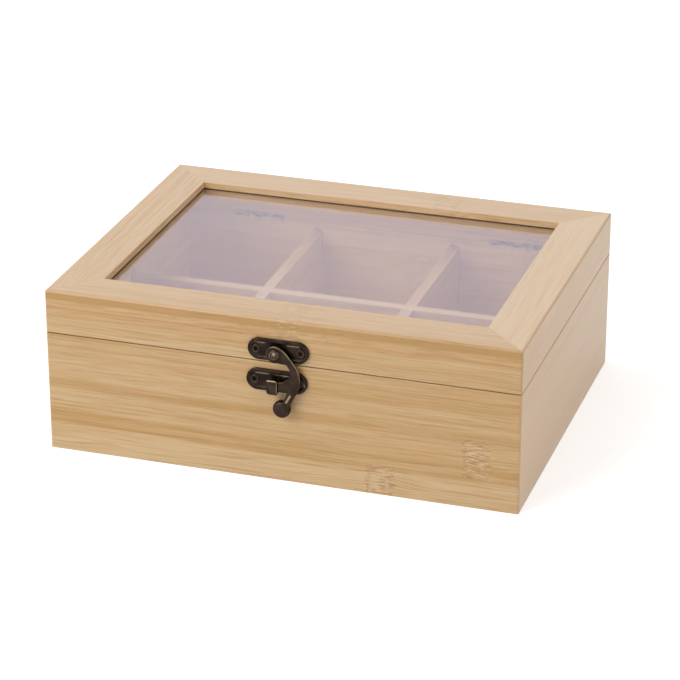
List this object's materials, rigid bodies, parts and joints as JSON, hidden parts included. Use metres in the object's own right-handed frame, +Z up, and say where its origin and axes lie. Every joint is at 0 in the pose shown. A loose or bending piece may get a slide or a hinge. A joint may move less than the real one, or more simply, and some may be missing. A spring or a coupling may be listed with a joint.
{
  "type": "tea bag organizer box",
  "caption": "Rectangular bamboo tea box with a hinged, windowed lid, divided compartments and a swing-hook latch on the front.",
  "frame": {"origin": "middle of the case's underside, on the plane that it stands on", "axes": "+X to the right along the latch face, +Y from the latch face to the hinge face, +Z up"},
  "size_m": [0.215, 0.1752, 0.076],
  "materials": {
    "case_bamboo": "sanded, clear matt lacquer",
    "frame_bamboo": "sanded, clear matt lacquer",
    "divider_bamboo": "sanded",
    "bottom_panel": "sanded",
    "clear_acrylic": "polished clear sheet",
    "hinge_metal": "zinc plated",
    "latch_bronze": "antique bronze plating"
  },
  "bodies": {
    "base": {"front_wall": "case_bamboo", "back_wall": "case_bamboo", "left_wall": "case_bamboo", "right_wall": "case_bamboo", "bottom_panel": "bottom_panel", "long_divider": "divider_bamboo", "cross_divider_left": "divider_bamboo", "cross_divider_right": "divider_bamboo", "hinge_base_leaf_left": "hinge_metal", "hinge_base_leaf_right": "hinge_metal", "hinge_pin_left": "hinge_metal", "hinge_pin_right": "hinge_metal", "hinge_base_screws": "hinge_metal", "catch_plate": "latch_bronze", "catch_screws": "latch_bronze"},
    "lid": {"lid_front_wall": "case_bamboo", "lid_back_wall": "case_bamboo", "lid_left_wall": "case_bamboo", "lid_right_wall": "case_bamboo", "frame_front_rail": "frame_bamboo", "frame_back_rail": "frame_bamboo", "frame_left_rail": "frame_bamboo", "frame_right_rail": "frame_bamboo", "window_pane": "clear_acrylic", "hinge_lid_leaf_left": "hinge_metal", "hinge_lid_leaf_right": "hinge_metal", "hinge_lid_screws": "hinge_metal", "latch_plate": "latch_bronze", "latch_screws": "latch_bronze", "latch_rivet": "latch_bronze"},
    "latch_arm": {"latch_arm": "latch_bronze"}
  },
  "joints": [
    {"name": "lid_hinge", "type": "hinge", "parent": "base", "child": "lid", "pos_m": [0, 0.0847, 0.05595], "axis": [-1, 0, 0], "range_deg": [0, 105]},
    {"name": "latch_swing", "type": "hinge", "parent": "lid", "child": "latch_arm", "pos_m": [-0.0005, -0.083, 0.0611], "axis": [0, -1, 0], "range_deg": [0, 100]}
  ]
}
